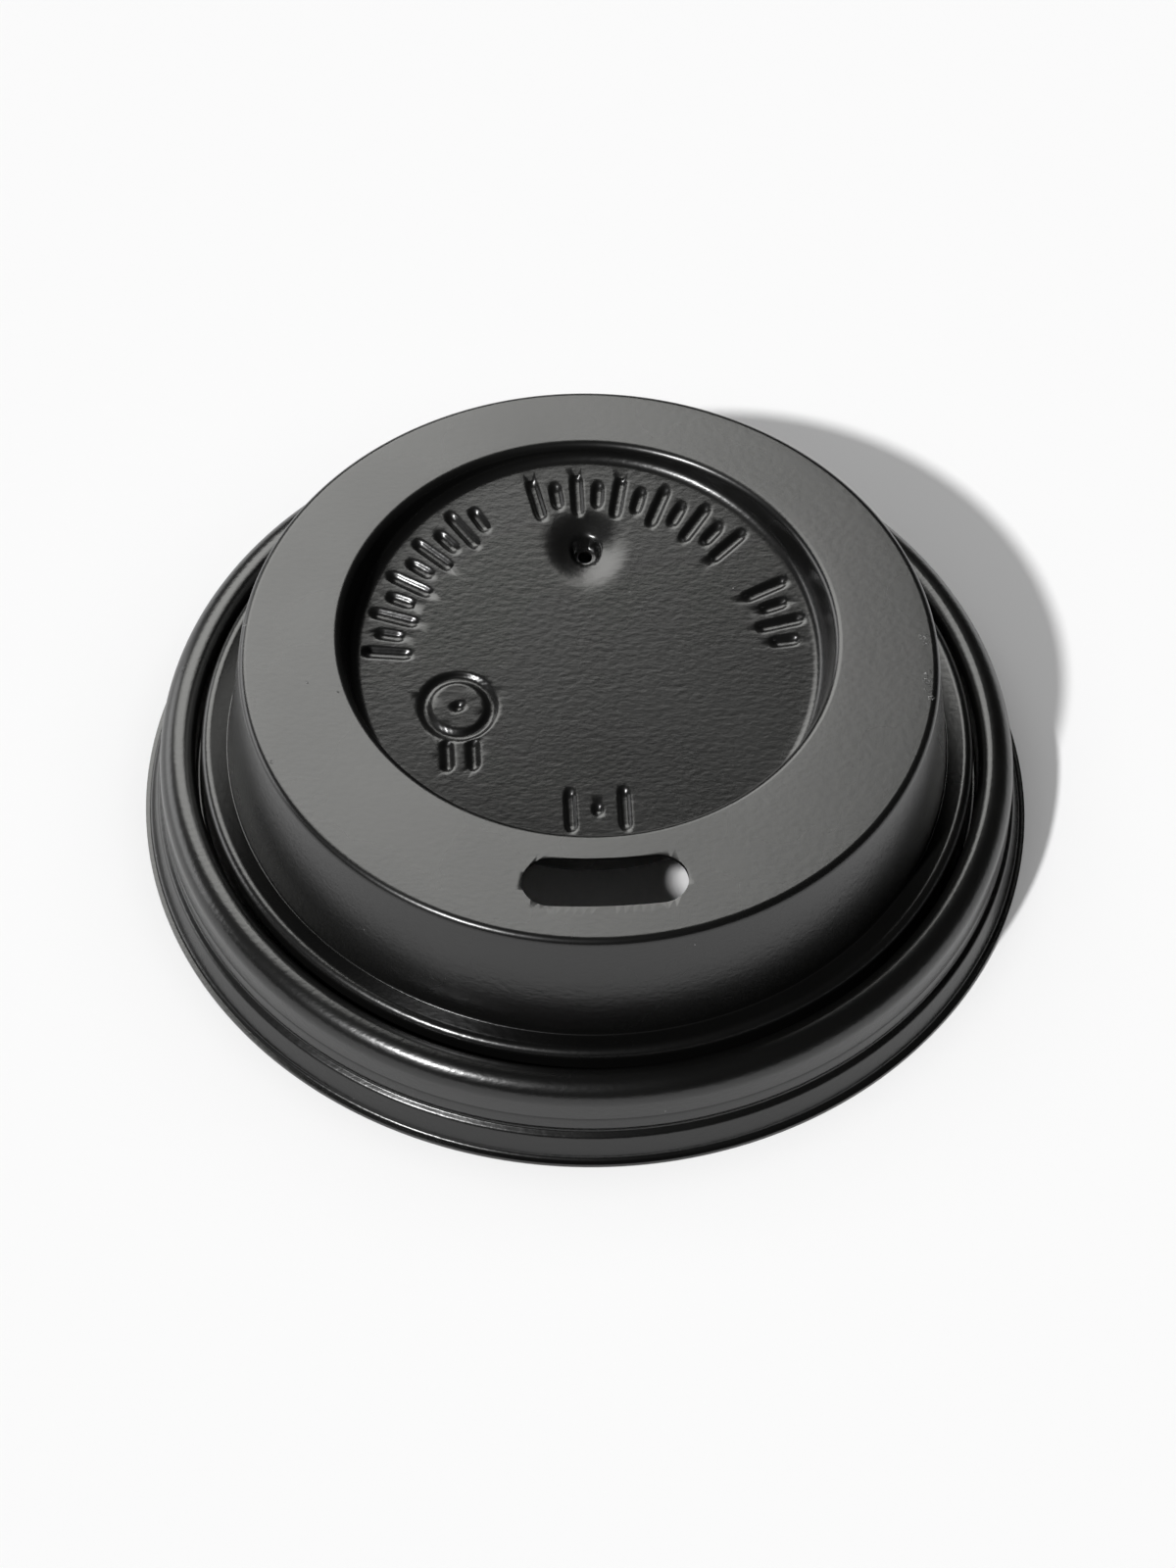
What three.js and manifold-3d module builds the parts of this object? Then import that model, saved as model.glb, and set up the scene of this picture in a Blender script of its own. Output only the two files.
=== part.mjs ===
// A thermoformed sip-through lid for a takeaway coffee cup.
//
// One sheet of black polystyrene is drawn into one shell: a flat rim plate with a sunk,
// tilted panel inside it, a tapered wall, a deep groove that plugs into the cup, a bead
// that sits over the cup's rolled rim, and a flared skirt below the bead. The shell is
// open underneath. A sip slot and a vent are punched through it.
//
// Millimetres, +Z up. The origin is the centre of the circle that the skirt stands on.
// The sip slot is at the front, on -Y. The panel is sunk deepest next to the slot.

import * as THREE from 'three';
import { mergeVertices } from 'three/addons/utils/BufferGeometryUtils.js';
import Module from 'manifold-3d';

// The sheet.
const sheet = 0.4;

// The cup that the lid fits, as the radius of the bead over the cup's rolled rim.
const beadRadius = 40.2;

// The rim plate and the tapered wall below it.
const lidHeight = 22;
const plateEdgeBend = 0.75;
const wallTaper = 6.4;

// The ledge at the foot of the wall.
const ledgeHeight = 10;
const ledgeWidth = 2.1;
const wallFootBend = 0.4;
const ledgeEdgeBend = 0.75;

// The groove that plugs into the cup's mouth.
const grooveFloorHeight = 5.3;
const grooveWidth = 1.58;
const grooveBend = 0.5;

// The bead.
const beadHeight = 9.7;
const beadWidth = 2.82;
const beadInnerBend = 0.5;
const beadOuterBend = 2.3;
const beadSideFoot = 3.95;
const beadFootBend = 0.5;

// The fine crease round the side of the bead.
const creaseHeight = 5.35;
const creaseDepth = 0.12;
const creaseWidth = 0.3;

// The undercut that snaps below the cup's rim, and the flared skirt with its flat lip.
const undercutDepth = 0.35;
const undercutHeight = 3.1;
const undercutBend = 1.9;
const skirtFlare = 1.6;
const skirtLipWidth = 0.85;
const skirtLipBend = 0.5;
const skirtEdgeBend = 0.25;

// The sunk panel, off centre towards the back and tilted down to the slot. The lands are
// the widths of plate that are left behind it and in front of it.
const backLand = 6.7;
const frontLand = 12.1;
const panelDepth = 4.7;
const panelTilt = 7.8;
const panelWallDraft = 11;
const panelMouthBend = 0.5;
const panelFootBend = 0.8;

// The sip slot, with a land of plate in front of it. Its long sides bow a little forward.
const slotLength = 15.1;
const slotWidth = 5.35;
const slotBow = 0.2;
const slotLand = 4.17;

// The vent: a soft crater, a pit in its middle and a pierced hole.
const ventSide = 0.5;
const ventMargin = 10.05;
const craterRadius = 3.8;
const craterDepth = 0.8;
const pitRadius = 1.35;
const pitDepth = 1.1;
const pitFootBevel = 0.35;
const pierceRadius = 0.65;

// The sunk marks of the panel, placed from its centre or a margin inside its mouth: plain
// ticks in three groups, a ring with a pip in it, two short bars under the ring, and two
// bars with a pip between them at the front.
const markWidth = 1;
const markDepth = 0.35;
const tickMargin = 4.25;
const tickPitch = 6;
const longTick = 4.4;
const shortTick = 2.6;
const tickGroups = [
  { from: -84, count: 10 },
  { from: -12, count: 11 },
  { from: 66, count: 4 },
];
const ringPlace = [-12.2, -4];
const ringRadius = 3.1;
const ringBarsPlace = [-12.2, -9.2];
const ringBarLength = 3.2;
const ringBarSpacing = 2.4;
const frontBarsSide = 0.2;
const frontBarsMargin = 7.55;
const frontBarLength = 4.2;
const frontBarSpacing = 5;

// How finely round shapes are cut into flats.
const lidSegments = 48;
const bendTolerance = 0.08;
const slotEndSegments = 10;
const ventSegments = 16;
const craterSteps = 3;
const ringSegments = 16;
const markSegments = 6;
const cutterReach = 3;

const DEGREE = Math.PI / 180;
const tiltSlope = Math.tan(panelTilt * DEGREE);
const draftSlope = Math.tan(panelWallDraft * DEGREE);
const taperSlope = Math.tan(wallTaper * DEGREE);
const panelCentreHeight = lidHeight - panelDepth;

// The radii of the section, from the bead in to the plate and out to the skirt.
const grooveOuterRadius = beadRadius - beadWidth;
const grooveInnerRadius = grooveOuterRadius - grooveWidth;
const wallFootRadius = grooveInnerRadius - ledgeWidth;
const plateRadius = wallFootRadius - (lidHeight - ledgeHeight) * taperSlope;
const undercutRadius = beadRadius - undercutDepth;
const skirtRadius = beadRadius + skirtFlare;

// The places on the plate and on the panel.
const panelMouthRadius = plateRadius - (backLand + frontLand) / 2;
const panelOffset = (frontLand - backLand) / 2;
const slotDistance = plateRadius - slotLand - slotWidth / 2;
const ventPlace = [ventSide, panelMouthRadius - ventMargin];
const tickCircleRadius = panelMouthRadius - tickMargin;
const frontBarsPlace = [frontBarsSide, frontBarsMargin - panelMouthRadius];

const wasm = await Module();
wasm.setup();

// A corner of the section: where its straight neighbours meet, the radius that rounds it
// off and about how far the sheet turns there. The panel's corners are measured from the
// panel's centre, which lies the offset behind the lid's.
function corner(radius, height, bend = 0, turn = 90, offset = 0) {
  return { radius, height, bend, turn, offset };
}

// The foot of the panel's wall. The wall keeps its draft, so the foot lies further in
// where the panel is deeper. Azimuth 0 is the front.
function panelFoot(azimuth) {
  const rise = -Math.cos(azimuth) * tiltSlope;
  const radius = (panelMouthRadius - panelDepth * draftSlope) / (1 - rise * draftSlope);
  return corner(radius, panelCentreHeight + radius * rise, panelFootBend, 80, panelOffset);
}

// The top side of the sheet, from the panel's centre to the edge of the skirt.
function topCorners(azimuth) {
  return [
    corner(0, panelCentreHeight, 0, 0, panelOffset),
    panelFoot(azimuth),
    corner(panelMouthRadius, lidHeight, panelMouthBend, 80, panelOffset),
    corner(plateRadius, lidHeight, plateEdgeBend, 80),
    corner(wallFootRadius, ledgeHeight, wallFootBend, 80),
    corner(grooveInnerRadius, ledgeHeight, ledgeEdgeBend),
    corner(grooveInnerRadius, grooveFloorHeight, grooveBend),
    corner(grooveOuterRadius, grooveFloorHeight, grooveBend),
    corner(grooveOuterRadius, beadHeight, beadInnerBend),
    corner(beadRadius, beadHeight, beadOuterBend),
    corner(beadRadius, beadSideFoot, beadFootBend, 22),
    corner(undercutRadius, undercutHeight, undercutBend, 45),
    corner(skirtRadius - skirtLipWidth, sheet, skirtLipBend, 68),
    corner(skirtRadius, sheet, skirtEdgeBend),
  ];
}

// The crease is only in the top side: a shallow notch in the side of the bead.
function withCrease(corners) {
  const above = corners.findIndex((each) => each.bend === beadOuterBend) + 1;
  const crease = [
    corner(beadRadius, creaseHeight + creaseWidth / 2),
    corner(beadRadius - creaseDepth, creaseHeight),
    corner(beadRadius, creaseHeight - creaseWidth / 2),
  ];
  return [...corners.slice(0, above), ...crease, ...corners.slice(above)];
}

// The same chain of corners moved one sheet thickness to the lower side.
function lowerCorners(corners) {
  const places = corners.map((each) => new THREE.Vector2(each.radius, each.height));
  const directions = places.slice(1).map((place, i) => place.clone().sub(places[i]).normalize());
  const lower = [corner(0, panelCentreHeight - sheet / Math.cos(panelTilt * DEGREE), 0, 0, panelOffset)];
  for (let i = 1; i + 1 < corners.length; i += 1) {
    const before = directions[i - 1];
    const after = directions[i];
    const turn = before.cross(after);
    const square = new THREE.Vector2(before.y + after.y, -before.x - after.x).normalize();
    const spread = Math.sqrt((1 + before.dot(after)) / 2);
    const place = places[i].clone().addScaledVector(square, sheet / spread);
    const bend = turn < 0 ? Math.max(0, corners[i].bend - sheet) : corners[i].bend + sheet;
    lower.push(corner(place.x, place.y, bend, corners[i].turn, corners[i].offset));
  }
  return lower;
}

function stepsFor(bend, turn) {
  if (bend <= bendTolerance) return 1;
  const stepTurn = 2 * Math.acos(1 - bendTolerance / bend);
  return Math.ceil((turn * DEGREE) / stepTurn);
}

// Rounds every corner of a chain between its first and its last, with an arc each.
function roundCorners(corners) {
  const points = [];
  for (let i = 1; i + 1 < corners.length; i += 1) {
    const { radius, height, bend, turn, offset } = corners[i];
    const here = new THREE.Vector2(radius, height);
    if (bend === 0) {
      points.push({ radius, height, offset });
      continue;
    }
    const back = new THREE.Vector2(corners[i - 1].radius, corners[i - 1].height).sub(here).normalize();
    const ahead = new THREE.Vector2(corners[i + 1].radius, corners[i + 1].height).sub(here).normalize();
    const half = Math.acos(back.dot(ahead)) / 2;
    const middle = back.clone().add(ahead).normalize();
    const centre = here.clone().addScaledVector(middle, bend / Math.sin(half));
    const firstArm = here.clone().addScaledVector(back, bend / Math.tan(half)).sub(centre);
    const sweep = (Math.PI - 2 * half) * Math.sign(ahead.cross(back));
    const steps = stepsFor(bend, turn);
    for (let step = 0; step <= steps; step += 1) {
      const arm = firstArm.clone().rotateAround(new THREE.Vector2(), (sweep * step) / steps);
      points.push({ radius: centre.x + arm.x, height: centre.y + arm.y, offset });
    }
  }
  return points;
}

// A section of the space below the top side: everything under the sheet's upper face.
function outerSection(azimuth) {
  const corners = topCorners(azimuth);
  const foot = corner(skirtRadius, 0);
  const round = roundCorners([...withCrease(corners), foot]);
  return [corner(0, 0), foot, ...round.reverse(), corners[0]];
}

// A section of the hollow below the sheet, reaching below the skirt to open it.
function hollowSection(azimuth) {
  const lower = lowerCorners(topCorners(azimuth));
  const round = roundCorners([...lower, corner(skirtRadius, 0)]);
  const mouth = round[round.length - 1];
  return [corner(0, -cutterReach), corner(mouth.radius, -cutterReach), ...round.reverse(), lower[0]];
}

// Turns a section about the axis, with the section worked out again at each azimuth.
function turnedGeometry(section) {
  const outline = section(0).map((point) => new THREE.Vector2(point.radius, point.height));
  const geometry = new THREE.LatheGeometry(outline, lidSegments);
  const position = geometry.getAttribute('position');
  for (let turn = 0; turn <= lidSegments; turn += 1) {
    const azimuth = ((turn % lidSegments) / lidSegments) * 2 * Math.PI;
    section(azimuth).forEach(({ radius, height, offset }, row) => {
      const x = radius * Math.sin(azimuth);
      const y = offset - radius * Math.cos(azimuth);
      position.setXYZ(turn * outline.length + row, x, y, height);
    });
  }
  return geometry;
}

function toSolid(geometry) {
  geometry.deleteAttribute('normal');
  geometry.deleteAttribute('uv');
  const merged = mergeVertices(geometry, 1e-5);
  return new wasm.Manifold(new wasm.Mesh({
    numProp: 3,
    vertProperties: new Float32Array(merged.getAttribute('position').array),
    triVerts: new Uint32Array(merged.getIndex().array),
  }));
}

function toGeometry(solid) {
  const mesh = solid.getMesh();
  const geometry = new THREE.BufferGeometry();
  geometry.setAttribute('position', new THREE.BufferAttribute(mesh.vertProperties, 3));
  geometry.setIndex(new THREE.BufferAttribute(mesh.triVerts, 1));
  geometry.computeVertexNormals();
  return geometry;
}

// Moves a shape from the panel's own plane to its place in the lid.
function ontoPanel(geometry) {
  geometry.rotateX(panelTilt * DEGREE);
  geometry.translate(0, panelOffset, panelCentreHeight);
  return geometry;
}

function slotCutter() {
  const straight = (slotLength - slotWidth) / 2;
  const half = slotWidth / 2;
  const outline = new THREE.Shape();
  outline.moveTo(-straight, half);
  outline.absarc(-straight, 0, half, Math.PI / 2, (3 * Math.PI) / 2, false);
  outline.quadraticCurveTo(0, -half - 2 * slotBow, straight, -half);
  outline.absarc(straight, 0, half, -Math.PI / 2, Math.PI / 2, false);
  outline.quadraticCurveTo(0, half - 2 * slotBow, -straight, half);
  const geometry = new THREE.ExtrudeGeometry(outline, {
    depth: 2 * cutterReach,
    bevelEnabled: false,
    curveSegments: slotEndSegments,
  });
  geometry.translate(0, -slotDistance, lidHeight - cutterReach);
  return toSolid(geometry);
}

// The vent's crater and pit, made larger all round by the growth for the lower side.
function ventCutter(growth) {
  const craterBend = (craterRadius ** 2 + craterDepth ** 2) / (2 * craterDepth);
  const bend = craterBend + growth;
  const centre = craterBend - craterDepth;
  const pit = pitRadius + growth;
  const pitFloor = -craterDepth - pitDepth - growth;
  const pitAngle = Math.asin(pit / bend);
  const rimAngle = Math.acos(centre / bend);
  const outline = [
    new THREE.Vector2(0, pitFloor),
    new THREE.Vector2(pit - pitFootBevel, pitFloor),
    new THREE.Vector2(pit, pitFloor + pitFootBevel),
  ];
  for (let step = 0; step <= craterSteps; step += 1) {
    const angle = pitAngle + ((rimAngle - pitAngle) * step) / craterSteps;
    outline.push(new THREE.Vector2(bend * Math.sin(angle), centre - bend * Math.cos(angle)));
  }
  outline.push(new THREE.Vector2(bend * Math.sin(rimAngle), cutterReach));
  outline.push(new THREE.Vector2(0, cutterReach));
  const geometry = new THREE.LatheGeometry(outline, ventSegments);
  geometry.rotateX(Math.PI / 2);
  geometry.translate(...ventPlace, 0);
  return toSolid(ontoPanel(geometry));
}

function pierceCutter() {
  const geometry = new THREE.CylinderGeometry(pierceRadius, pierceRadius, 4 * cutterReach, ventSegments);
  geometry.rotateX(Math.PI / 2);
  geometry.translate(...ventPlace, 0);
  return toSolid(ontoPanel(geometry));
}

// A mark is a round groove whose centre line lies a little above the panel. The growth
// makes the matching ridge on the lower side.
const markBend = markWidth ** 2 / (8 * markDepth) + markDepth / 2;
const markLift = markBend - markDepth;

function barGeometry(length, growth) {
  const bend = markBend + growth;
  return new THREE.CapsuleGeometry(bend, length - markWidth, 2, markSegments);
}

function tickGeometries(growth) {
  const ticks = [];
  for (const { from, count } of tickGroups) {
    for (let i = 0; i < count; i += 1) {
      const geometry = barGeometry(i % 2 === 0 ? longTick : shortTick, growth);
      geometry.translate(0, tickCircleRadius, markLift);
      geometry.rotateZ(-(from + i * tickPitch) * DEGREE);
      ticks.push(geometry);
    }
  }
  return ticks;
}

function pipGeometry(place, growth) {
  const geometry = new THREE.SphereGeometry(markBend + growth, markSegments, markSegments - 2);
  geometry.rotateX(Math.PI / 2);
  geometry.translate(...place, markLift);
  return geometry;
}

function barPair(place, length, spacing, growth) {
  return [-0.5, 0.5].map((side) => {
    const geometry = barGeometry(length, growth);
    geometry.translate(place[0] + side * spacing, place[1], markLift);
    return geometry;
  });
}

function ringGeometry(growth) {
  const geometry = new THREE.TorusGeometry(ringRadius, markBend + growth, markSegments, ringSegments);
  geometry.translate(...ringPlace, markLift);
  return geometry;
}

function markCutters(growth) {
  const shapes = [
    ...tickGeometries(growth),
    ringGeometry(growth),
    pipGeometry(ringPlace, growth),
    ...barPair(ringBarsPlace, ringBarLength, ringBarSpacing, growth),
    ...barPair(frontBarsPlace, frontBarLength, frontBarSpacing, growth),
    pipGeometry(frontBarsPlace, growth),
  ];
  return shapes.map((shape) => toSolid(ontoPanel(shape)));
}

function cutAll(solid, cutters) {
  return cutters.reduce((left, cutter) => left.subtract(cutter), solid);
}

function lidSolid() {
  const outer = cutAll(toSolid(turnedGeometry(outerSection)), [...markCutters(0), ventCutter(0)]);
  const hollow = cutAll(toSolid(turnedGeometry(hollowSection)), [...markCutters(sheet), ventCutter(sheet)]);
  return cutAll(outer, [hollow, slotCutter(), pierceCutter()]);
}

const blackPolystyrene = new THREE.MeshStandardMaterial({
  color: new THREE.Color(0.009, 0.009, 0.009),
  roughness: 0.32,
  metalness: 0,
});

const lid = new THREE.Mesh(toGeometry(lidSolid()), blackPolystyrene);
lid.name = 'cup_lid';

const coffeeCupLid = new THREE.Group();
coffeeCupLid.add(lid);

export default coffeeCupLid;
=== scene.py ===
import math

import bmesh
import bpy
from mathutils import Matrix, Vector


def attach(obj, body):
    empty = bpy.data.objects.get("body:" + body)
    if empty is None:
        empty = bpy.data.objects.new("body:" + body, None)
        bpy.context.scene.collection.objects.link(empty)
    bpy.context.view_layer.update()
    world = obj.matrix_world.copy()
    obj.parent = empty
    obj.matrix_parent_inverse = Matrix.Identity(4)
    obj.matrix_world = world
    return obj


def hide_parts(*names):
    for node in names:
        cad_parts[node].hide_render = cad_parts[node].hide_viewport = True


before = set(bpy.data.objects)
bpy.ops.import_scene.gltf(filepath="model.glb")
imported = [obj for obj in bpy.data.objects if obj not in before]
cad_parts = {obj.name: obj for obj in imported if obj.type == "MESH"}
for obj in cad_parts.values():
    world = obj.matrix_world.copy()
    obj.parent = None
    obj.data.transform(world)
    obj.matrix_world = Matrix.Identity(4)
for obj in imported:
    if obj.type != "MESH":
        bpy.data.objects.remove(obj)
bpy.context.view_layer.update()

MM = 0.001

# The sheet and its section, in millimetres. The ledge, the groove, the bead's crest and the
# shelf above the skirt are finer here than in the part's source.
SHEET = 0.4
LID_HEIGHT = 22.0
PLATE_RADIUS = 32.35
WALL_FOOT_RADIUS = 33.75
WALL_FOOT_HEIGHT = 9.5
LEDGE_EDGE_HEIGHT = 10.34
GROOVE_INNER_RADIUS = 36.3
GROOVE_OUTER_RADIUS = 36.85
GROOVE_FLOOR = 5.3
BEAD_HEIGHT = 9.5
BEAD_RADIUS = 40.2
BEAD_SIDE_FOOT = 3.95
CREASE_HEIGHT = 5.35
CREASE_DEPTH = 0.12
CREASE_WIDTH = 0.3
UNDERCUT_RADIUS = 39.95
UNDERCUT_HEIGHT = 3.3
SHELF_RADIUS = 40.6
SHELF_HEIGHT = 2.95
SKIRT_RADIUS = 41.8
SKIRT_LIP = 0.6

# The bends of the section. Each has to fit between its neighbours, or the sheet folds.
PLATE_EDGE_BEND = 0.75
WALL_FOOT_BEND = 0.12
LEDGE_EDGE_BEND = 0.8
GROOVE_BEND = 0.24
BEAD_INNER_BEND = 1.2
BEAD_OUTER_BEND = 2.1
BEAD_FOOT_BEND = 0.5
UNDERCUT_BEND = 0.3
SHELF_BEND = 0.5
SKIRT_LIP_BEND = 0.45

# The sunk panel, which is off the lid's axis and tilted to the slot.
PANEL_RADIUS = 22.95
PANEL_OFFSET = 2.7
PANEL_DEPTH = 4.7
PANEL_TILT = math.radians(7.8)
PANEL_DRAFT = math.radians(11.0)
PANEL_CENTRE = LID_HEIGHT - PANEL_DEPTH
PANEL_FOOT_BEND = 1.2
PANEL_MOUTH_BEND = 0.8
PANEL_FLAT_RADIUS = 21.4
PANEL_FLATNESS = 0.05

SLOT_LENGTH = 15.1
SLOT_WIDTH = 5.35
SLOT_BOW = 0.2
SLOT_DISTANCE = 25.5

# The vent and the marks, placed from the panel's centre. A slope is how far a side runs
# from the face to its depth, and a lip is how far it starts outside the radius.
VENT = Vector((0.5, 12.9))
CRATER_RADIUS = 3.8
CRATER_LIP = 0.4
CRATER_DEPTH = 0.8
PIT_RADIUS = 1.35
PIT_LIP = 0.2
PIT_SLOPE = 0.5
PIT_DEPTH = 1.1
PIERCE_RADIUS = 0.65
MARK_HALF_WIDTH = 0.5
MARK_REACH = 0.68
MARK_SLOPE = 0.5
MARK_DEPTH = 0.35
TICK_CIRCLE = 18.7
TICK_PITCH = 6
LONG_TICK = 4.4
SHORT_TICK = 2.6
TICK_GROUPS = [(-84, 10), (-12, 11), (66, 4)]
RING = Vector((-12.2, -4.0))
RING_RADIUS = 3.1
RING_BARS = Vector((-12.2, -9.2))
RING_BAR_PITCH = 2.4
RING_BAR_LENGTH = 3.2
FRONT_BARS = Vector((0.2, -15.4))
FRONT_BAR_PITCH = 5.0
FRONT_BAR_LENGTH = 4.2

# How finely the mesh is divided.
TURNS = 240
ARC_STEP = math.radians(11)
LEAST_ARC_STEPS = 3
PANEL_ARC_STEPS = 7
PANEL_FLAT_RINGS = 21
PANEL_WALL_RINGS = 3
PLATE_RINGS = 4
LONGEST_STRIP = 2.5
RELIEF_REACH = 1.05
VENT_REACH = 2.45
SLOT_END_STEPS = 24
SLOT_SIDE_STEPS = 12

# The cuts. A cutter passes through the sheet on both sides, and its edges get a small bevel.
SLOT_CUTTER_HEIGHT = 6.0
PIERCE_CUTTER_HEIGHT = 12.0
CUT_BEVEL = 0.07
CUT_ANGLE = math.radians(60)

# The scuffs lie at the right edge of the plate, the nicks on its left and at the panel's
# mouth. Each is a place and a reach.
SCUFFS = [
    ((31.1, 1.1, 22.0), 0.55),
    ((31.2, 0.4, 22.0), 0.35),
    ((31.0, -3.1, 22.0), 0.45),
    ((31.0, -4.0, 22.0), 0.5),
    ((31.0, -5.0, 22.0), 0.45),
    ((31.1, -6.0, 22.0), 0.4),
    ((-26.2, -2.0, 22.0), 0.2),
    ((-23.2, -3.1, 22.0), 0.22),
    ((-31.8, 5.1, 21.8), 0.3),
    ((-29.6, -11.0, 22.0), 0.22),
]

# The plastic. Scales are per metre and heights are in metres, as the shaders take them.
DARK_TONE = (0.0030, 0.0030, 0.0029, 1)
LIGHT_TONE = (0.0044, 0.0044, 0.0042, 1)
WHITENED = (0.20, 0.20, 0.20, 1)
GLOSSIEST, DULLEST = 0.25, 0.30
POLYSTYRENE_IOR = 1.59
TONE_SCALE = 60
GRIT_SCALE = 5200
DUST_SCALE = 230
PEEL_SCALE = 2100
PEEL_STRETCH = 0.6
PEEL_HEIGHT = 0.00008
PANEL_PEEL, PLATE_PEEL = 0.26, 0.13
SCUFF_HEIGHT = 0.0001
SCUFF_STRENGTH = 0.8

# The lamps and the camera. The lid is seen from the front and above.
WARM = (1.0, 1.0, 0.97)
PLAIN = (1.0, 1.0, 1.0)
KEY_DIRECTION = Vector((-0.491, -0.510, 0.706))
KEY_ANGLE = math.radians(3)
KEY_ENERGY = 2.95
ROOM_STRENGTH = 0.02
TABLE_HALF_WIDTH = 1.6
CAMERA_DISTANCE = 560.3
CAMERA_ELEVATION = 0.9283022
CAMERA_PITCH = -0.0026641
CAMERA_YAW = -0.0005437
CAMERA_ROLL = 0.0296572
CAMERA_AZIMUTH = math.radians(-4.4)
FOCAL_LENGTH = 135
SENSOR_WIDTH = 36


# The section of the sheet's upper side, as corners of radius, height and bend.


def section_corners():
    half_crease = CREASE_WIDTH / 2
    return [
        (PLATE_RADIUS, LID_HEIGHT, PLATE_EDGE_BEND),
        (WALL_FOOT_RADIUS, WALL_FOOT_HEIGHT, WALL_FOOT_BEND),
        (GROOVE_INNER_RADIUS, LEDGE_EDGE_HEIGHT, LEDGE_EDGE_BEND),
        (GROOVE_INNER_RADIUS, GROOVE_FLOOR, GROOVE_BEND),
        (GROOVE_OUTER_RADIUS, GROOVE_FLOOR, GROOVE_BEND),
        (GROOVE_OUTER_RADIUS, BEAD_HEIGHT, BEAD_INNER_BEND),
        (BEAD_RADIUS, BEAD_HEIGHT, BEAD_OUTER_BEND),
        (BEAD_RADIUS, CREASE_HEIGHT + half_crease, 0.0),
        (BEAD_RADIUS - CREASE_DEPTH, CREASE_HEIGHT, 0.0),
        (BEAD_RADIUS, CREASE_HEIGHT - half_crease, 0.0),
        (BEAD_RADIUS, BEAD_SIDE_FOOT, BEAD_FOOT_BEND),
        (UNDERCUT_RADIUS, UNDERCUT_HEIGHT, UNDERCUT_BEND),
        (SHELF_RADIUS, SHELF_HEIGHT, SHELF_BEND),
        (SKIRT_RADIUS - SKIRT_LIP, SHEET, SKIRT_LIP_BEND),
        (SKIRT_RADIUS, SHEET, 0.0),
    ]


def panel_corners(azimuth):
    rise = -math.cos(azimuth) * math.tan(PANEL_TILT)
    draft = math.tan(PANEL_DRAFT)
    foot = (PANEL_RADIUS - PANEL_DEPTH * draft) / (1 - rise * draft)
    return [
        (0.0, PANEL_CENTRE, 0.0),
        (foot, PANEL_CENTRE + foot * rise, PANEL_FOOT_BEND),
        (PANEL_RADIUS, LID_HEIGHT, PANEL_MOUTH_BEND),
        (PLATE_RADIUS, LID_HEIGHT, 0.0),
    ]


def arc(before, here, after, bend, steps):
    place = Vector(here)
    back = (Vector(before) - place).normalized()
    ahead = (Vector(after) - place).normalized()
    half = back.angle(ahead) / 2
    centre = place + (back + ahead).normalized() * (bend / math.sin(half))
    arm = place + back * (bend / math.tan(half)) - centre
    turns_left = ahead.x * back.y - ahead.y * back.x > 0
    sweep = (math.pi - 2 * half) * (1 if turns_left else -1)
    points = []
    for step in range(steps + 1):
        turn = sweep * step / steps
        x = arm.x * math.cos(turn) - arm.y * math.sin(turn)
        y = arm.x * math.sin(turn) + arm.y * math.cos(turn)
        points.append(centre + Vector((x, y)))
    return points


def arc_steps(before, here, after):
    turn = math.pi - (Vector(before) - Vector(here)).angle(Vector(after) - Vector(here))
    return max(LEAST_ARC_STEPS, math.ceil(turn / ARC_STEP))


def rounded(corners):
    points = []
    for before, here, after in zip(corners, corners[1:], corners[2:]):
        if here[2] == 0:
            points.append(Vector(here[:2]))
            continue
        steps = arc_steps(before[:2], here[:2], after[:2])
        points += arc(before[:2], here[:2], after[:2], here[2], steps)
    return points


def panel_rows(azimuth):
    hub, foot, mouth, rim = panel_corners(azimuth)
    foot_arc = arc(hub[:2], foot[:2], mouth[:2], foot[2], PANEL_ARC_STEPS)
    mouth_arc = arc(foot[:2], mouth[:2], rim[:2], mouth[2], PANEL_ARC_STEPS)
    centre = Vector((0.0, PANEL_CENTRE))
    rows = [
        centre.lerp(foot_arc[0], ring / PANEL_FLAT_RINGS) for ring in range(PANEL_FLAT_RINGS)
    ]
    wall = [
        foot_arc[-1].lerp(mouth_arc[0], ring / PANEL_WALL_RINGS)
        for ring in range(1, PANEL_WALL_RINGS)
    ]
    return rows + foot_arc + wall + mouth_arc


def outer_rows():
    corners = section_corners()
    lead = (PANEL_RADIUS + PANEL_OFFSET, LID_HEIGHT, 0.0)
    rows = rounded([lead] + corners)
    filled = [rows[0]]
    for point in rows[1:]:
        start = filled[-1]
        parts = max(1, math.ceil((point - start).length / LONGEST_STRIP))
        filled += [start.lerp(point, part / parts) for part in range(1, parts + 1)]
    filled.append(Vector(corners[-1][:2]))
    return filled


# A chain of points is spun round the lid's axis. Each point keeps its number in the chain,
# so that the rows of the panel can then be moved to the panel's own axis and tilt.


def lid_place(radius, height, azimuth):
    return Vector((radius * math.sin(azimuth), -radius * math.cos(azimuth), height))


def panel_place(radius, height, azimuth):
    return lid_place(radius, height, azimuth) + Vector((0.0, PANEL_OFFSET, 0.0))


def spun_chain(row_count):
    bm = bmesh.new()
    row_layer = bm.verts.layers.int.new("row")
    verts = []
    for row in range(row_count):
        vert = bm.verts.new((0.0, -row * 0.01, 0.0))
        vert[row_layer] = row
        verts.append(vert)
    edges = [bm.edges.new(pair) for pair in zip(verts, verts[1:])]
    bmesh.ops.spin(
        bm,
        geom=verts + edges,
        cent=(0.0, 0.0, 0.0),
        axis=(0.0, 0.0, 1.0),
        angle=2 * math.pi,
        steps=TURNS,
        use_merge=True,
        use_duplicate=False,
    )
    return bm, row_layer


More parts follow.
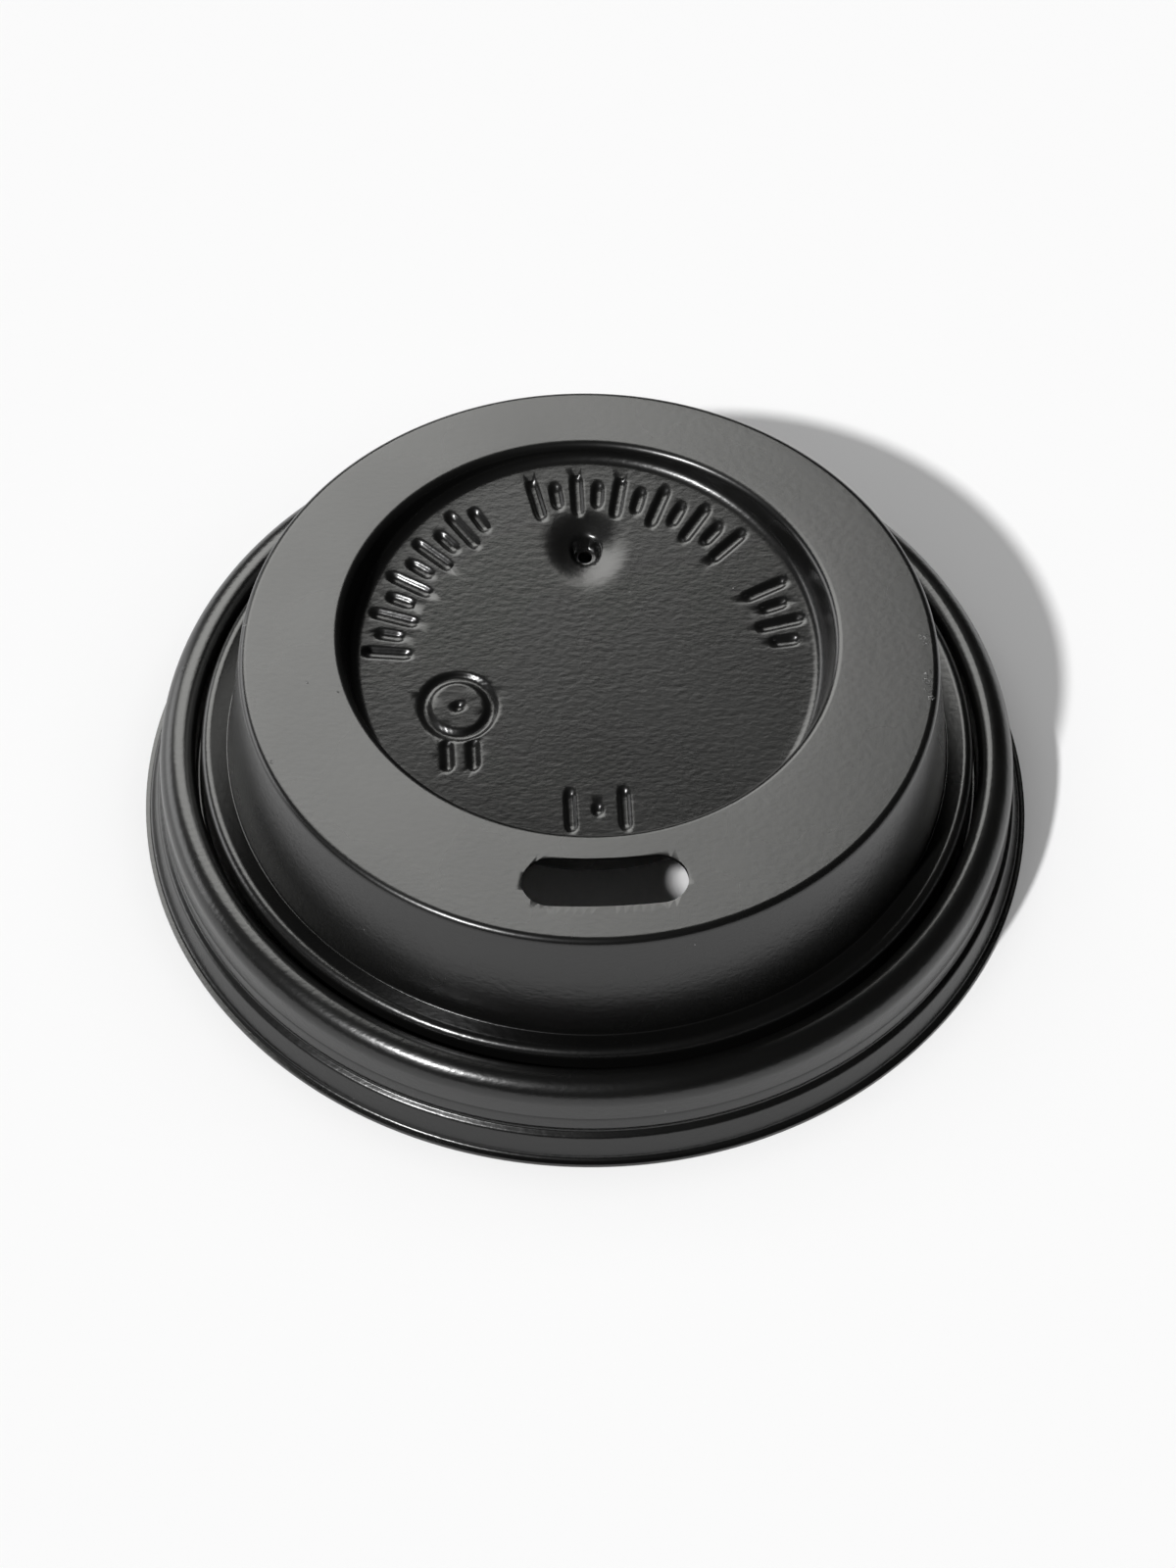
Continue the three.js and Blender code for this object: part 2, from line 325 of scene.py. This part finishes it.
def spun_shell():
    outer = outer_rows()
    panel_count = len(panel_rows(0.0))
    bm, row_layer = spun_chain(panel_count + PLATE_RINGS + len(outer))
    panel_at = {}
    for vert in bm.verts:
        azimuth = math.atan2(vert.co.x, -vert.co.y)
        key = round(azimuth * TURNS / (2 * math.pi)) % TURNS
        azimuth = 2 * math.pi * key / TURNS
        if key not in panel_at:
            panel_at[key] = panel_rows(azimuth)
        row = vert[row_layer]
        if row < panel_count:
            point = panel_at[key][row]
            vert.co = panel_place(point.x, point.y, azimuth)
        elif row < panel_count + PLATE_RINGS:
            inner = panel_at[key][-1]
            start = panel_place(inner.x, inner.y, azimuth)
            end = lid_place(outer[0].x, outer[0].y, azimuth)
            share = (row - panel_count + 1) / (PLATE_RINGS + 1)
            vert.co = start.lerp(end, share)
        else:
            point = outer[row - panel_count - PLATE_RINGS]
            vert.co = lid_place(point.x, point.y, azimuth)
    bmesh.ops.remove_doubles(bm, verts=bm.verts, dist=1e-4)
    bmesh.ops.recalc_face_normals(bm, faces=bm.faces)
    highest = max(bm.faces, key=lambda face: face.calc_center_median().z)
    if highest.normal.z < 0:
        bmesh.ops.reverse_faces(bm, faces=bm.faces)
    return bm


# The marks and the vent are pressed into the panel.


def bar(centre, length, angle=0.0):
    along = Vector((-math.sin(angle), math.cos(angle)))
    half = along * (length / 2 - MARK_HALF_WIDTH)
    return (centre - half, centre + half)


def panel_bars():
    bars = []
    for first, count in TICK_GROUPS:
        for i in range(count):
            angle = -math.radians(first + i * TICK_PITCH)
            centre = Vector((-math.sin(angle), math.cos(angle))) * TICK_CIRCLE
            bars.append(bar(centre, LONG_TICK if i % 2 == 0 else SHORT_TICK, angle))
    for side in (-0.5, 0.5):
        bars.append(bar(RING_BARS + Vector((RING_BAR_PITCH * side, 0.0)), RING_BAR_LENGTH))
        bars.append(bar(FRONT_BARS + Vector((FRONT_BAR_PITCH * side, 0.0)), FRONT_BAR_LENGTH))
    bars.append((RING, RING))
    bars.append((FRONT_BARS, FRONT_BARS))
    return bars


BARS = panel_bars()


def distance_to_bar(place, ends):
    start, end = ends
    along = end - start
    if along.length_squared == 0:
        return (place - start).length
    share = max(0.0, min(1.0, (place - start).dot(along) / along.length_squared))
    return (place - start - along * share).length


def distance_to_mark(place):
    ring_gap = abs((place - RING).length - RING_RADIUS)
    return min([ring_gap] + [distance_to_bar(place, ends) for ends in BARS])


def eased(value):
    value = max(0.0, min(1.0, value))
    return value * value * (3 - 2 * value)


def mark_sink(place):
    return MARK_DEPTH * eased((MARK_REACH - distance_to_mark(place)) / MARK_SLOPE)


def vent_sink(place):
    away = (place - VENT).length
    crater = CRATER_DEPTH * eased((CRATER_RADIUS + CRATER_LIP - away) / CRATER_RADIUS)
    pit = PIT_DEPTH * eased((PIT_RADIUS + PIT_LIP - away) / PIT_SLOPE)
    return crater + pit


def onto_panel(co):
    from_centre = co - Vector((0.0, PANEL_OFFSET, PANEL_CENTRE))
    flat = Matrix.Rotation(-PANEL_TILT, 3, "X") @ from_centre
    return Vector((flat.x, flat.y)), flat.z


def on_panel_flat(place, lift):
    return abs(lift) < PANEL_FLATNESS and place.length < PANEL_FLAT_RADIUS


def near_relief(face):
    place, lift = onto_panel(face.calc_center_median())
    if not on_panel_flat(place, lift):
        return False
    return distance_to_mark(place) < RELIEF_REACH or (place - VENT).length < VENT_REACH


def refine_relief(bm):
    edges = {edge for face in bm.faces if near_relief(face) for edge in face.edges}
    bmesh.ops.subdivide_edges(bm, edges=list(edges), cuts=2, use_grid_fill=True)


def press_relief(bm):
    down = Matrix.Rotation(PANEL_TILT, 3, "X") @ Vector((0.0, 0.0, -1.0))
    for vert in bm.verts:
        place, lift = onto_panel(vert.co)
        if on_panel_flat(place, lift):
            vert.co += down * (mark_sink(place) + vent_sink(place))


def mesh_object(name, bm):
    mesh = bpy.data.meshes.new(name)
    bm.to_mesh(mesh)
    bm.free()
    piece = bpy.data.objects.new(name, mesh)
    bpy.context.scene.collection.objects.link(piece)
    return piece


def slot_outline():
    straight = (SLOT_LENGTH - SLOT_WIDTH) / 2
    half = SLOT_WIDTH / 2
    outline = []
    for side in (-1, 1):
        for step in range(SLOT_END_STEPS + 1):
            angle = math.pi * (step / SLOT_END_STEPS - 0.5) + (math.pi if side < 0 else 0)
            x = side * straight + half * math.cos(angle)
            outline.append(Vector((x, half * math.sin(angle))))
        for step in range(1, SLOT_SIDE_STEPS):
            x = side * straight * (1 - 2 * step / SLOT_SIDE_STEPS)
            outline.append(Vector((x, side * half)))
    for place in outline:
        bow = SLOT_BOW * max(0.0, 1 - (place.x / straight) ** 2)
        place.y = place.y - SLOT_DISTANCE - bow
    return outline


def slot_cutter():
    bm = bmesh.new()
    foot = LID_HEIGHT - SLOT_CUTTER_HEIGHT / 2
    face = bm.faces.new([bm.verts.new((place.x, place.y, foot)) for place in slot_outline()])
    top = bmesh.ops.extrude_face_region(bm, geom=[face])["geom"]
    moved = [item for item in top if isinstance(item, bmesh.types.BMVert)]
    bmesh.ops.translate(bm, verts=moved, vec=(0.0, 0.0, SLOT_CUTTER_HEIGHT))
    bmesh.ops.recalc_face_normals(bm, faces=bm.faces)
    bmesh.ops.scale(bm, verts=bm.verts, vec=(MM, MM, MM))
    return mesh_object("slot_cutter", bm)


def pierce_cutter():
    bm = bmesh.new()
    bmesh.ops.create_cone(
        bm,
        cap_ends=True,
        segments=32,
        radius1=PIERCE_RADIUS,
        radius2=PIERCE_RADIUS,
        depth=PIERCE_CUTTER_HEIGHT,
    )
    tilt = Matrix.Rotation(PANEL_TILT, 3, "X")
    bmesh.ops.translate(bm, verts=bm.verts, vec=(VENT.x, VENT.y, 0.0))
    bmesh.ops.rotate(bm, verts=bm.verts, cent=(0, 0, 0), matrix=tilt)
    bmesh.ops.translate(bm, verts=bm.verts, vec=(0.0, PANEL_OFFSET, PANEL_CENTRE))
    bmesh.ops.scale(bm, verts=bm.verts, vec=(MM, MM, MM))
    return mesh_object("pierce_cutter", bm)


def is_cut_edge(edge):
    return edge.is_manifold and edge.calc_face_angle(0) > CUT_ANGLE


def soften_cut_edges(piece):
    bm = bmesh.new()
    bm.from_mesh(piece.data)
    bmesh.ops.remove_doubles(bm, verts=bm.verts, dist=2e-6)
    bmesh.ops.bevel(
        bm,
        geom=[edge for edge in bm.edges if is_cut_edge(edge)],
        offset=CUT_BEVEL * MM,
        offset_type="OFFSET",
        segments=2,
        profile=0.5,
        affect="EDGES",
        clamp_overlap=True,
        material=-1,
    )
    for face in bm.faces:
        face.smooth = True
    bm.to_mesh(piece.data)
    bm.free()


def lid_piece():
    bm = spun_shell()
    refine_relief(bm)
    press_relief(bm)
    bmesh.ops.scale(bm, verts=bm.verts, vec=(MM, MM, MM))
    piece = mesh_object("formed_lid", bm)
    wall = piece.modifiers.new("sheet", "SOLIDIFY")
    wall.thickness = SHEET * MM
    wall.offset = -1
    wall.use_even_offset = True
    cutters = [slot_cutter(), pierce_cutter()]
    for cutter in cutters:
        cut = piece.modifiers.new(cutter.name, "BOOLEAN")
        cut.operation = "DIFFERENCE"
        cut.solver = "EXACT"
        cut.object = cutter
    depsgraph = bpy.context.evaluated_depsgraph_get()
    finished = bpy.data.meshes.new_from_object(piece.evaluated_get(depsgraph))
    piece.modifiers.clear()
    piece.data = finished
    for cutter in cutters:
        bpy.data.objects.remove(cutter)
    soften_cut_edges(piece)
    even = piece.modifiers.new("even_shading", "WEIGHTED_NORMAL")
    even.mode = "FACE_AREA"
    even.weight = 50
    return piece


# The materials.


def new_material(name):
    material = bpy.data.materials.new(name)
    material.use_nodes = True
    tree = material.node_tree
    return material, tree.nodes, tree.links, tree.nodes["Principled BSDF"]


def noise_field(nodes, links, place, scale, detail, stretch=1.0):
    spread = nodes.new("ShaderNodeMapping")
    spread.inputs["Scale"].default_value = (stretch, 1.0, 1.0)
    links.new(place.outputs["Object"], spread.inputs["Vector"])
    field = nodes.new("ShaderNodeTexNoise")
    field.inputs["Scale"].default_value = scale
    field.inputs["Detail"].default_value = detail
    links.new(spread.outputs["Vector"], field.inputs["Vector"])
    return field.outputs["Fac"]


def ranged(nodes, links, value, low, high, to_low, to_high):
    span = nodes.new("ShaderNodeMapRange")
    span.inputs["From Min"].default_value = low
    span.inputs["From Max"].default_value = high
    span.inputs["To Min"].default_value = to_low
    span.inputs["To Max"].default_value = to_high
    links.new(value, span.inputs["Value"])
    return span.outputs["Result"]


def combined(nodes, links, operation, first, second):
    both = nodes.new("ShaderNodeMath")
    both.operation = operation
    links.new(first, both.inputs[0])
    links.new(second, both.inputs[1])
    return both.outputs[0]


def bumped(nodes, links, height, distance):
    bump = nodes.new("ShaderNodeBump")
    bump.inputs["Distance"].default_value = distance
    links.new(height, bump.inputs["Height"])
    return bump


def scuffed(nodes, links, place):
    nearest = None
    for centre, reach in SCUFFS:
        away = nodes.new("ShaderNodeVectorMath")
        away.operation = "DISTANCE"
        links.new(place.outputs["Object"], away.inputs[0])
        away.inputs[1].default_value = Vector(centre) * MM
        near = ranged(nodes, links, away.outputs["Value"], 0.3 * reach * MM, reach * MM, 1.0, 0.0)
        nearest = near if nearest is None else combined(nodes, links, "MAXIMUM", nearest, near)
    return nearest


def gritty_scuffs(nodes, links, place):
    field = noise_field(nodes, links, place, GRIT_SCALE, 1)
    grit = ranged(nodes, links, field, 0.56, 0.62, 0.0, 1.0)
    return combined(nodes, links, "MULTIPLY", scuffed(nodes, links, place), grit)


def dust_specks(nodes, links, place):
    cells = nodes.new("ShaderNodeTexVoronoi")
    cells.inputs["Scale"].default_value = DUST_SCALE
    links.new(place.outputs["Object"], cells.inputs["Vector"])
    return ranged(nodes, links, cells.outputs["Distance"], 0.012, 0.02, 1.0, 0.0)


def toned(nodes, links, tone):
    ramp = nodes.new("ShaderNodeValToRGB")
    dark, light = ramp.color_ramp.elements
    dark.position = 0.3
    dark.color = DARK_TONE
    light.position = 0.7
    light.color = LIGHT_TONE
    links.new(tone, ramp.inputs["Fac"])
    return ramp.outputs["Color"]


def whitened(nodes, links, colour, share):
    mix = nodes.new("ShaderNodeMix")
    mix.data_type = "RGBA"
    mix.inputs["B"].default_value = WHITENED
    links.new(share, mix.inputs["Factor"])
    links.new(colour, mix.inputs["A"])
    return mix.outputs["Result"]


# The orange peel is stronger on the sunk panel than on the plate, so it goes by height.


def orange_peel(nodes, links, place):
    grain = noise_field(nodes, links, place, PEEL_SCALE, 2, PEEL_STRETCH)
    peel = bumped(nodes, links, grain, PEEL_HEIGHT)
    parts = nodes.new("ShaderNodeSeparateXYZ")
    links.new(place.outputs["Object"], parts.inputs[0])
    strength = ranged(nodes, links, parts.outputs["Z"], 0.0205, 0.0215, PANEL_PEEL, PLATE_PEEL)
    links.new(strength, peel.inputs["Strength"])
    return peel.outputs["Normal"]


def satin_black():
    material, nodes, links, shader = new_material("satin_black_polystyrene")
    place = nodes.new("ShaderNodeTexCoord")
    tone = noise_field(nodes, links, place, TONE_SCALE, 3)
    worn = gritty_scuffs(nodes, links, place)
    marred = combined(nodes, links, "MAXIMUM", worn, dust_specks(nodes, links, place))
    colour = whitened(nodes, links, toned(nodes, links, tone), marred)
    links.new(colour, shader.inputs["Base Color"])
    gloss = ranged(nodes, links, tone, 0.25, 0.75, GLOSSIEST, DULLEST)
    links.new(gloss, shader.inputs["Roughness"])
    shader.inputs["IOR"].default_value = POLYSTYRENE_IOR
    pits = bumped(nodes, links, worn, SCUFF_HEIGHT)
    pits.inputs["Strength"].default_value = SCUFF_STRENGTH
    links.new(orange_peel(nodes, links, place), pits.inputs["Normal"])
    links.new(pits.outputs["Normal"], shader.inputs["Normal"])
    return material


def white_card():
    material, _, _, shader = new_material("white_card")
    shader.inputs["Base Color"].default_value = (0.9, 0.9, 0.9, 1)
    shader.inputs["Roughness"].default_value = 0.9
    shader.inputs["Specular IOR Level"].default_value = 0.0
    return material


# The table, the lamps and the camera.


def table_top():
    bm = bmesh.new()
    bmesh.ops.create_grid(bm, x_segments=4, y_segments=4, size=TABLE_HALF_WIDTH)
    floor = mesh_object("table_top", bm)
    floor.data.materials.append(white_card())
    return floor


def hung(name, data, towards):
    holder = bpy.data.objects.new(name, data)
    holder.rotation_mode = "QUATERNION"
    holder.rotation_quaternion = towards.to_track_quat("Z", "Y")
    bpy.context.scene.collection.objects.link(holder)
    return holder


def key_lamp():
    lamp = bpy.data.lights.new("key", "SUN")
    lamp.angle = KEY_ANGLE
    lamp.energy = KEY_ENERGY
    hung("key", lamp, KEY_DIRECTION)


# A soft lamp stands off from the lid in a direction given in degrees, and lights only the
# one object that it is made for.


def soft_lamp(name, receiver, azimuth, elevation, distance, size, radiance, colour):
    lamp = bpy.data.lights.new(name, "AREA")
    lamp.shape = "RECTANGLE"
    lamp.size, lamp.size_y = size
    lamp.energy = radiance * math.pi * size[0] * size[1]
    lamp.color = colour
    azimuth, elevation = math.radians(azimuth), math.radians(elevation)
    flat = Vector((math.sin(azimuth), math.cos(azimuth), 0.0)) * math.cos(elevation)
    towards = flat + Vector((0.0, 0.0, math.sin(elevation)))
    holder = hung(name, lamp, towards)
    holder.location = towards * distance
    lit = bpy.data.collections.new(name + "_receivers")
    lit.objects.link(receiver)
    holder.light_linking.receiver_collection = lit


def room_light():
    world = bpy.data.worlds.new("room")
    bpy.context.scene.world = world
    world.use_nodes = True
    seen = world.node_tree.nodes["Background"]
    seen.inputs["Color"].default_value = (1, 1, 1, 1)
    seen.inputs["Strength"].default_value = ROOM_STRENGTH


def camera():
    distance = CAMERA_DISTANCE * MM
    back, up = math.cos(CAMERA_ELEVATION), math.sin(CAMERA_ELEVATION)
    place = Vector((0.0, -distance * back, distance * up))
    aim = CAMERA_ELEVATION + CAMERA_PITCH
    ahead = Vector((0.0, math.cos(aim), -math.sin(aim)))
    ahead.rotate(Matrix.Rotation(CAMERA_YAW, 3, "Z"))
    level = ahead.cross(Vector((0, 0, 1))).normalized()
    upright = level.cross(ahead)
    across = level * math.cos(CAMERA_ROLL) + upright * math.sin(CAMERA_ROLL)
    above = upright * math.cos(CAMERA_ROLL) - level * math.sin(CAMERA_ROLL)
    basis = Matrix((across, above, -ahead)).transposed()
    lens = bpy.data.cameras.new("camera")
    lens.lens = FOCAL_LENGTH
    lens.sensor_width = SENSOR_WIDTH
    lens.clip_start = 0.05
    lens.clip_end = 20
    eye = bpy.data.objects.new("camera", lens)
    turn = Matrix.Rotation(CAMERA_AZIMUTH, 4, "Z")
    eye.matrix_world = turn @ Matrix.Translation(place) @ basis.to_4x4()
    bpy.context.scene.collection.objects.link(eye)
    bpy.context.scene.camera = eye


lid = lid_piece()
lid.data.materials.clear()
lid.data.materials.append(satin_black())
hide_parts("cup_lid")
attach(lid, "root")

floor = table_top()
key_lamp()
room_light()
soft_lamp("back_softbox", lid, -18, 43, 0.75, (0.50, 0.36), 5.0, WARM)
soft_lamp("upper_card", lid, -18, 61.3, 0.75, (0.50, 0.125), 3.8, WARM)
soft_lamp("left_card", lid, -62, 12, 1.2, (1.0, 0.5), 3.0, PLAIN)
soft_lamp("ceiling", floor, 0, 90, 1.5, (3.0, 3.0), 0.70, PLAIN)
camera()

bpy.context.scene.view_settings.view_transform = "Standard"
